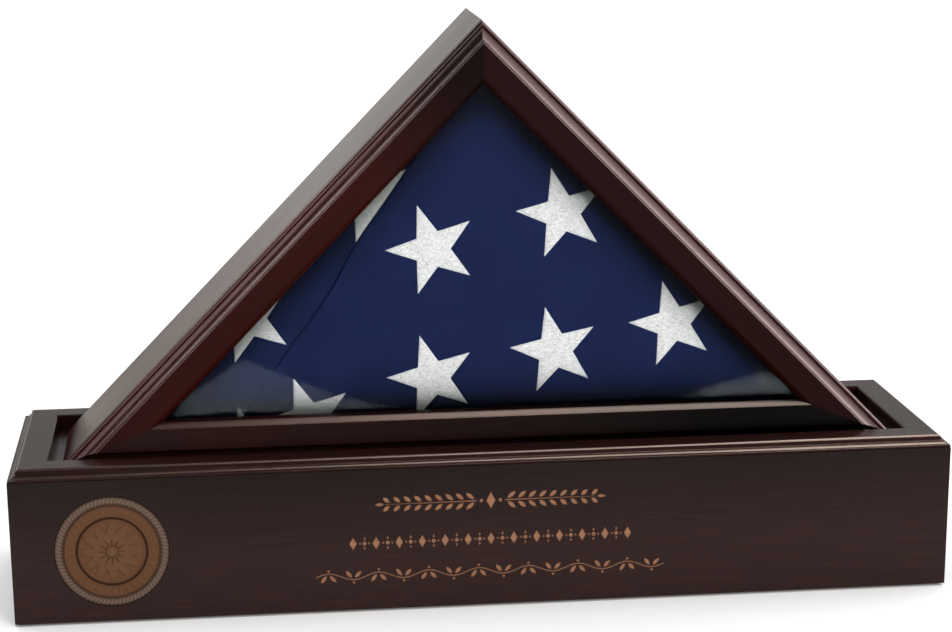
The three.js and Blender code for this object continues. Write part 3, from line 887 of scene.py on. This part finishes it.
def case_frame():
    for side, (start, end, inward, corners) in CASE_SIDES.items():
        board = bar(f"{side}_side", eased(SIDE_SECTION, 0.7), start, end, inward, corners, SIDE_LACQUER)
        holes = []
        for _, low, high, middle in nodes_named("button_screw_" + side):
            profile = cylinder(BUTTON_HOLE_R, high.y - low.y)
            holes.append(lathe(profile, 20, (middle.x, low.y - GAP, middle.z), (0, 1, 0)))
        if holes:
            carve(board, *together(holes))
        finish_piece(board, "case", [f"case_{side}_side"], angle=35)
        section = eased(FACE_SECTION, 0.3)
        rail = bar(f"{side}_rail", section, start, end, inward, corners, FACE_LACQUER[side])
        finish_piece(rail, "case", [f"face_{side}_rail"])


# ---- Flag ------------------------------------------------------------------------------

EDGE_N = node_box("folded_flag")[0].z - CASE_BOTTOM  # the pack's edge, in from the case's outline
PACK_BACK = node_box("folded_flag")[1].y
PACK_CROWN = node_box("folded_flag")[0].y
PACK_EDGE_FRONT, PACK_EDGE_BACK = -31.0, 30.0  # depths between which the pack's edges stand
LAYER = 3.0  # thickness of the folded-over layer on the front


CORNER_SOFTNESS = 7.0


def inset(x, z):
    """How far a point lies inside the case's outline, with the corners eased."""
    left = (x - LEFT_TIP.x) * LEG_SIN - (z - CASE_BOTTOM) * LEG_COS
    right = (RIGHT_TIP.x - x) * LEG_SIN - (z - CASE_BOTTOM) * LEG_COS
    closeness = sum(math.exp(-n / CORNER_SOFTNESS) for n in (left, right, z - CASE_BOTTOM))
    return -CORNER_SOFTNESS * math.log(closeness)


SHADE_REACH = 17.0
APEX_SHADE_FROM, APEX_SHADE_DOUBLED = 375.0, 400.0  # heights between which the reach doubles


def paint_edge_shade(mesh):
    """Marks how much painted shade darkens each point of the flag beside the face rails. The painted
    shade reaches further near the apex, where the two legs close in."""
    values = []
    for vertex in mesh.vertices:
        x, z = vertex.co.x / MM, vertex.co.z / MM
        closing = max(0.0, z - APEX_SHADE_FROM) / (APEX_SHADE_DOUBLED - APEX_SHADE_FROM)
        clear = max(0.0, inset(x, z) - FACE_W)
        values.append(math.exp(-((clear / (SHADE_REACH * (1 + closing))) ** 1.6)))
    mesh.attributes.new("shade", "FLOAT", "POINT").data.foreach_set("value", values)


def ripple(x, z, seed):
    """Slow unevenness of stuffed cloth, about one millimetre high."""
    wide = noise.noise(Vector((x / 95, z / 95, seed)))
    narrow = noise.noise(Vector((x / 38, z / 38, seed + 5)))
    return wide + 0.45 * narrow


def creases(x, z):
    """Long soft creases that run beside the fold, down to the lower left."""
    across = (x * 0.80 - z * 0.60) / 46
    along = (x * 0.60 + z * 0.80) / 190
    wave = noise.noise(Vector((across, along, 9.0)))
    return 0.7 * (1 - min(1, abs(wave) * 7)) ** 2


def puff(x, z, reach):
    """How near the pack is to its full thickness at a point, from 0 at its edge to 1."""
    return 1 - math.exp(-max(0.0, inset(x, z) - EDGE_N) / reach)


def front_depth(x, z):
    """Depth of the pack's front under the folded-over layer."""
    rise = puff(x, z, 12.5)
    full = PACK_CROWN + LAYER + 1.2 - PACK_EDGE_FRONT
    unevenness = 0.75 * ripple(x, z, 0.0) + 0.5 * creases(x, z)
    return PACK_EDGE_FRONT + rise * (full + unevenness)


def back_depth(x, z):
    """Depth of the pack's back under the tucked flap."""
    rise = puff(x, z, 12.0)
    full = PACK_BACK - LAYER - 1.2 - PACK_EDGE_BACK
    return PACK_EDGE_BACK + rise * (full - 0.6 * ripple(x, z, 20.0))


def outline_point(n, radius, at):
    """A point round the pack's rounded triangle, inset by n, at a share of the way round."""
    turn = at * 3
    side = int(turn) % 3
    step = turn - int(turn)
    inward = n + radius
    reach = inward / math.tan(LEG / 2)
    corners = [
        (LEFT_TIP.x + reach, CASE_BOTTOM + inward),
        (RIGHT_TIP.x - reach, CASE_BOTTOM + inward),
        (CASE_X, APEX_Z - inward / LEG_COS),
    ]
    normals = [-90.0, 90 - FOOT_CORNER, 90 + FOOT_CORNER]  # outward, of the side after each corner
    here, there = corners[side], corners[(side + 1) % 3]
    normal = normals[side]
    following = normals[(side + 1) % 3]
    sweep = (following - normal) % 360
    straight = 0.93
    if step <= straight:
        t = step / straight
        a = math.radians(normal)
        x = here[0] + (there[0] - here[0]) * t
        z = here[1] + (there[1] - here[1]) * t
        return x + radius * math.cos(a), z + radius * math.sin(a)
    a = math.radians(normal + sweep * (step - straight) / (1 - straight))
    return there[0] + radius * math.cos(a), there[1] + radius * math.sin(a)


def flag_pack():
    """The body of the folded flag: front and back faces, and folded edges between them."""
    around, rings, plies = 330, 64, 11
    rise = APEX_Z - CASE_BOTTOM
    in_radius = rise * CASE_HALF_W / (CASE_HALF_W + math.hypot(CASE_HALF_W, rise))
    centre = (CASE_X, CASE_BOTTOM + in_radius)
    rim = [outline_point(EDGE_N + 0.4, 9, j / around) for j in range(around)]
    rows = []

    def ring(share, depth):
        row = []
        for x, z in rim:
            px, pz = centre[0] + (x - centre[0]) * share, centre[1] + (z - centre[1]) * share
            row.append((px, depth(px, pz), pz))
        return row

    shares = [(i / rings) ** 0.8 for i in range(1, rings + 1)]
    rows += [ring(share, front_depth) for share in shares]
    steps = plies * 6
    for i in range(1, steps):
        t = i / steps
        bulge = abs(math.sin(math.pi * plies * t)) ** 0.6
        row = []
        for j, (x, z) in enumerate(rim):
            wander = 0.8 * noise.noise(Vector((x / 60, z / 60, t * 9)))
            pull = 1 - (0.004 + 0.010 * (1 - bulge) + 0.004 * wander)
            front, back = front_depth(x, z), back_depth(x, z)
            px, pz = centre[0] + (x - centre[0]) * pull, centre[1] + (z - centre[1]) * pull
            row.append((px, front + (back - front) * t, pz))
        rows.append(row)
    rows += [ring(share, back_depth) for share in reversed(shares)]
    points = [(centre[0], front_depth(*centre), centre[1])]
    for row in rows:
        points += row
    points.append((centre[0], back_depth(*centre), centre[1]))
    last = len(points) - 1
    faces = [(0, 1 + j, 1 + (j + 1) % around) for j in range(around)]
    for i in range(len(rows) - 1):
        a, b = 1 + i * around, 1 + (i + 1) * around
        faces += [(a + j, b + j, b + (j + 1) % around, a + (j + 1) % around) for j in range(around)]
    a = 1 + (len(rows) - 1) * around
    faces += [(last, a + (j + 1) % around, a + j) for j in range(around)]
    mesh = new_mesh("flag_pack", points, faces)
    paint_edge_shade(mesh)
    mesh.materials.append(CLOTH)
    obj = finish_piece(linked("flag_pack", mesh), "case", ["folded_flag"], 70, False)


def through(points, at):
    """A point on a smooth curve through a list of points, at a share of the way along it."""
    spans = len(points) - 1
    place = min(at, 0.999999) * spans
    i = int(place)
    t = place - i
    a, b = points[max(i - 1, 0)], points[i]
    c, d = points[i + 1], points[min(i + 2, spans)]
    return tuple(
        0.5 * (2 * q + (r - p) * t + (2 * p - 5 * q + 4 * r - s) * t**2 + (3 * q - p - 3 * r + s) * t**3)
        for p, q, r, s in zip(a, b, c, d)
    )


# The front layer's fold, from the top of the pack down to its lower left, and its other edge,
# which runs down the right leg. Each point is (x, z).
FOLD = [(-7, 413), (-31, 380), (-61, 334), (-96, 285), (-120, 243), (-152, 200), (-185, 152), (-193, 142)]
TUCKED = [(10, 413), (72, 350), (135, 286), (198, 223), (272, 147), (282, 142)]
# The back's tucked flap, whose free edge slants across the pack
BACK_FOLD = [(40, 380), (-30, 300), (-110, 215), (-185, 142)]
BACK_TUCKED = [(52, 374), (120, 305), (200, 222), (278, 142)]


def folded_layer(name, fold, tucked, depth, outward, seam_at=None):
    """A folded-over layer of the flag: a rounded fold at one edge, the rest lying on the pack.
    Outward is -1 for the front and 1 for the back. A seam runs at a distance from the fold."""
    rows, columns, roll, hidden = 150, 110, 8, 6
    half = LAYER / 2
    points = []
    for i in range(rows + 1):
        s = i / rows
        fx, fz = through(fold, s)
        tx, tz = through(tucked, s)
        span = math.hypot(tx - fx, tz - fz)
        row = []
        for k in range(roll + 1):
            angle = math.radians(-90 + 180 * k / roll)
            row.append((half * (1 - math.cos(angle)), half + half * math.sin(angle)))
        for k in range(1, columns + 1):
            along = half + (span - half) * (k / columns) ** 1.15
            swell = 0.35 * math.exp(-along / 14) - 0.18 * math.exp(-along / 2.5)
            row.append((along, LAYER + swell))
        for k in range(hidden):
            row.append((half + (span - half) * (1 - (k + 0.5) / hidden), -0.8))
        for along, lift in row:
            x, z = fx + (tx - fx) * along / span, fz + (tz - fz) * along / span
            if seam_at and lift > LAYER - 0.5:
                lift -= 0.35 * math.exp(-(((along - seam_at) / 0.9) ** 2))
            points.append((x, depth(x, z) + outward * lift, z))
    width = roll + 1 + columns + hidden
    faces = []
    for i in range(rows):
        for j in range(width):
            k = (j + 1) % width
            faces.append((i * width + j, i * width + k, (i + 1) * width + k, (i + 1) * width + j))
    faces.append(tuple(reversed(range(width))))
    faces.append(tuple(range(rows * width, (rows + 1) * width)))
    if outward < 0:
        faces = [tuple(reversed(face)) for face in faces]
    mesh = new_mesh(name, points, faces)
    paint_edge_shade(mesh)
    mesh.materials.append(CLOTH)
    obj = finish_piece(linked(name, mesh), "case", (), 70, False)


STAR_POINTS = 5
STAR_INNER = 0.40
STITCH_H = 1.0


def wrapped(x, z, height, depth):
    """A point at a height over the pack, where what passes the pack's edge turns back round it."""
    past = 0.0
    for corner, _, (inward_x, _, inward_z), _ in CASE_SIDES.values():
        inside = (x - corner.x) * inward_x + (z - corner.z) * inward_z
        over = EDGE_N + 2.5 - inside
        if over > 0:
            x += inward_x * (over - 0.5 * height)
            z += inward_z * (over - 0.5 * height)
            past += over
    return x, depth(x, z) - height + past, z


def star(name, x, z, radius, turn, depth):
    """A raised embroidered star: a rounded edge, and a low ridge down each point."""
    spokes, rings = 24, 16
    outline = []
    for tip in range(STAR_POINTS):
        angle = 180 + turn - tip * 72
        for k in range(spokes):
            t = k / spokes
            ends = [(radius, angle), (radius * STAR_INNER, angle - 36), (radius, angle - 72)]
            first, second = (ends[0], ends[1]) if t < 0.5 else (ends[1], ends[2])
            share = (t % 0.5) * 2
            a, b = math.radians(first[1]), math.radians(second[1])
            px = first[0] * math.cos(a) * (1 - share) + second[0] * math.cos(b) * share
            pz = first[0] * math.sin(a) * (1 - share) + second[0] * math.sin(b) * share
            ragged = 1 + 0.012 * noise.noise(Vector((px / 1.4, pz / 1.4, x)))
            outline.append((px * ragged, pz * ragged, abs(t - 0.5) * 2))
    count = len(outline)
    points, relief = [], []

    def add(px, pz, height, worked):
        points.append(wrapped(x + px, z + pz, height, depth))
        relief.append(worked)

    add(0, 0, STITCH_H * 1.25, 1.0)
    for i in range(1, rings + 1):
        share = 1 - (1 - i / rings) ** 1.5
        for px, pz, to_tip in outline:
            edge = dome(share**6)
            ridge = 1 + 0.35 * (to_tip * share + (1 - share)) ** 2
            rough = 0.16 * noise.noise(Vector((px * share / 1.3, pz * share / 1.3, x + 3)))
            add(px * share, pz * share, (STITCH_H * ridge + rough) * edge, 1 - share**5)
    front_rim = 1 + (rings - 1) * count
    for px, pz, _ in outline:
        add(px * 0.995, pz * 0.995, -0.6, 0.0)
    back = len(points)
    add(0, 0, -0.6, 0.0)
    faces = [(0, 1 + (j + 1) % count, 1 + j) for j in range(count)]
    for i in range(rings):
        a, b = 1 + i * count, 1 + (i + 1) * count
        faces += [(a + j, a + (j + 1) % count, b + (j + 1) % count, b + j) for j in range(count)]
    last = front_rim + count
    faces += [(back, last + j, last + (j + 1) % count) for j in range(count)]
    mesh = new_mesh(name, points, faces)
    mesh.attributes.new("relief", "FLOAT", "POINT").data.foreach_set("value", relief)
    paint_edge_shade(mesh)
    mesh.materials.append(THREAD)
    finish_piece(linked(name, mesh), "case", (), 80, False)


def layer_depth(x, z):
    return front_depth(x, z) - LAYER


# Stars by (x, z, radius, turn in degrees): those on the folded-over layer, then those under it
FRONT_STARS = [
    (-37.3, 278.4, 37.0, 0.0), (65.2, 303.7, 36.8, -4.5), (-38.2, 174.8, 36.2, -2.5),
    (59.6, 194.0, 36.2, -5.5), (154.6, 212.3, 36.0, -3.5), (-136.5, 143.6, 36.5, 0.0),
]
UNDER_STARS = [(-181.8, 226.5, 36.5, 0.0), (-85.0, 319.5, 36.5, 0.0), (-181.5, 121.4, 36.0, 0.0)]


def flag():
    flag_pack()
    folded_layer("flag_front_fold", FOLD, TUCKED, front_depth, -1)
    folded_layer("flag_back_tuck", BACK_FOLD, BACK_TUCKED, back_depth, 1, 16)
    for i, (x, z, radius, turn) in enumerate(FRONT_STARS):
        star(f"flag_star_{i + 1}", x, z, radius, turn, layer_depth)
    for i, (x, z, radius, turn) in enumerate(UNDER_STARS):
        star(f"flag_star_{len(FRONT_STARS) + i + 1}", x, z, radius, turn, front_depth)


# ---- Everything together ---------------------------------------------------------------

base_boards()
medallion()
bottom_screws()
case_frame()
button_screws()
flag()
for node in sorted(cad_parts):
    if node.startswith("felt_foot_"):
        felt_disc(node, "base")
    elif node.startswith("case_pad_"):
        felt_disc(node, "case")
    elif node.startswith("turn_button_"):
        softened(node, 0.5, BRASS, node)
    elif node.startswith(("floor_cleat_", "corner_block_")):
        softened(node, 0.8, BARE_WOOD, "base")
    elif node.startswith("glass_stop_"):
        softened(node, 0.4, BARE_WOOD, "case")
repaint("recess_floor", FLOOR_LACQUER)
repaint("bottom_panel", PLYWOOD)
softened("back_panel", 0.5, PLYWOOD, "back_panel")
repaint("glass_pane", GLASS)


# ---- Camera, light and floor -----------------------------------------------------------


def camera():
    data = bpy.data.cameras.new("camera")
    data.sensor_width = 36
    data.lens = 85.09
    data.shift_x = 0.0378
    data.shift_y = 0.0882
    data.clip_end = 50
    obj = linked("camera", data)
    yaw, pitch, roll = 0.10058, -0.25764, -0.01072
    place = Matrix.Translation((-0.20549, -1.76468, 0.61149))
    turn = Matrix.Rotation(-yaw, 4, "Z") @ Matrix.Rotation(math.pi / 2 + pitch, 4, "X")
    obj.matrix_world = place @ turn @ Matrix.Rotation(roll, 4, "Z")
    bpy.context.scene.camera = obj


def light_only(source, pieces):
    """Keeps a light or a lit card to the pieces given."""
    receivers = bpy.data.collections.new(source.name + "_receivers")
    for piece in pieces:
        receivers.objects.link(piece)
    source.light_linking.receiver_collection = receivers


def softbox(name, at, target, size, power, colour, glints=()):
    """A softbox. One with glints named shows only as highlights in the varnish of those pieces,
    and one without lights everything but leaves no highlights."""
    data = bpy.data.lights.new(name, "AREA")
    data.shape = "RECTANGLE"
    data.size, data.size_y = size
    data.energy = power
    data.color = colour
    obj = linked(name, data)
    direction = Vector(target) - Vector(at)
    obj.matrix_world = Matrix.Translation(at) @ direction.to_track_quat("-Z", "Y").to_matrix().to_4x4()
    if glints:
        obj.visible_diffuse = False
        light_only(obj, [bpy.data.objects[piece] for piece in glints])
    else:
        obj.visible_glossy = False


def unseen(card):
    """Leaves a card to show only in reflections."""
    card.visible_camera = card.visible_diffuse = card.visible_shadow = card.visible_transmission = False


def glass_card(name, outline, radiance):
    """A lit card low in front of the glass, which alone reflects it. Its outline is given by the
    x and z, in millimetres, where the camera sees its edge in the glass."""
    glass_y = node_box("glass_pane")[0].y
    eye = bpy.context.scene.camera.matrix_world.translation / MM
    behind = Vector((eye.x, 2 * glass_y - eye.y, eye.z))
    card_z = 20.0
    points = []
    for x, z in outline:
        ray = Vector((x, glass_y, z)) - behind
        points.append(behind + ray * (behind.z - card_z) / (behind.z - z))
    card = linked(name, new_mesh(name, points, [tuple(range(len(points)))]))
    graph = Graph(name, Base_Color=(0, 0, 0, 1), Specular_IOR_Level=0.0)
    graph.set(graph.shader, {"Emission Color": (0.91, 0.94, 1.0, 1), "Emission Strength": radiance})
    card.data.materials.append(graph.owner)
    light_only(card, [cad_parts["glass_pane"]])
    unseen(card)


def level_sheet(name, low, high, height, material):
    """A level rectangle between two (x, y) corners."""
    corners = [(low[0], low[1]), (high[0], low[1]), (high[0], high[1]), (low[0], high[1])]
    points = [Vector((x, y, height)) / MM for x, y in corners]
    sheet = linked(name, new_mesh(name, points, [(0, 1, 2, 3)]))
    sheet.data.materials.append(material)
    return sheet


def shade_card():
    """A warm grey card on the floor behind, seen only in the varnish: the low end of the case's
    left side reflects it. It fades to white with distance."""
    graph = Graph("shade_card", Roughness=0.9, Specular_IOR_Level=0.0)
    distance = graph.part(graph.add("TexCoord").outputs["Generated"], "Y")
    tone = graph.mix(distance, (0.30, 0.255, 0.21, 1), (0.56, 0.53, 0.50, 1))
    graph.set(graph.shader, {"Base Color": tone})
    unseen(level_sheet("shade_card", (-6.0, 1.2), (0.2, 13.5), 0.02, graph.owner))


def floor():
    graph = Graph("floor_paper", Roughness=0.9, Specular_IOR_Level=0.1)
    paper = graph.mix(graph.noise(graph.place(), 3, 2), (0.80, 0.80, 0.80, 1), (0.83, 0.83, 0.83, 1))
    graph.set(graph.shader, {"Base Color": paper})
    reach = 14.0
    level_sheet("floor", (-reach, -reach), (reach, reach), 0.0, graph.owner)


def sky():
    """A studio dome: bright overhead and behind, dim in front, with a darker band low down."""
    graph = Graph("studio", world=True)
    direction = graph.add("TexCoord").outputs["Generated"]
    facing = graph.add("VectorMath", {"operation": "DOT_PRODUCT"})
    graph.set(facing, {0: direction, 1: Vector((0.30, 0.50, 0.81)).normalized()})
    strength = graph.add(
        "MapRange", {"interpolation_type": "SMOOTHSTEP"}, Value=facing.outputs["Value"],
        From_Min=-0.3, From_Max=0.8, To_Min=0.3, To_Max=2.0,
    ).outputs[0]
    bands = graph.ramp(graph.part(direction, "Z"), [
        (0.0, (0.60, 0.57, 0.54, 1)), (0.09, (0.68, 0.65, 0.63, 1)), (0.19, (0.27, 0.28, 0.265, 1)),
        (0.32, (0.27, 0.28, 0.265, 1)), (0.50, (1, 1, 1, 1)),
    ])
    graph.set(graph.shader, {"Color": bands, "Strength": strength})
    bpy.context.scene.world = graph.owner


def studio():
    sky()
    rails = ["left_rail", "right_rail", "bottom_rail"]
    pink, rose, amber = (1.0, 0.80, 0.78), (1.0, 0.84, 0.80), (1.0, 0.80, 0.68)
    softbox("key", (1.8, -4.2, 1.7), (0, 0, 0.2), (1.6, 1.2), 150, (1.0, 0.98, 0.96))
    softbox("right", (2.2, -0.3, 1.35), (0.1, -0.1, 0.25), (3.2, 1.4), 540, pink, rails)
    softbox("left", (-1.6, -2.2, 1.35), (-0.1, 0, 0.25), (2.6, 1.0), 310, pink, rails)
    softbox("back_left", (-1.9, 1.0, 1.65), (-0.1, 0, 0.25), (1.5, 0.8), 95, rose, rails)
    softbox("top", (0.93, -0.5, 2.5), (0.93, -0.49, 0.1), (1.8, 3.0), 1080, amber, [*rails, "front_rim"])
    shade_card()
    glass_card("card_left", [
        (-187, 196), (-144, 177), (-106, 161), (-65, 152), (20, 148), (20, 136), (-250, 136), (-235, 165),
    ], 12)
    glass_card("card_right", [(155, 150), (193, 162), (232, 171), (268, 146), (268, 136), (140, 136)], 17)
    floor()
    bpy.context.scene.view_settings.view_transform = "Standard"


camera()
studio()

bpy.context.view_layer.update()
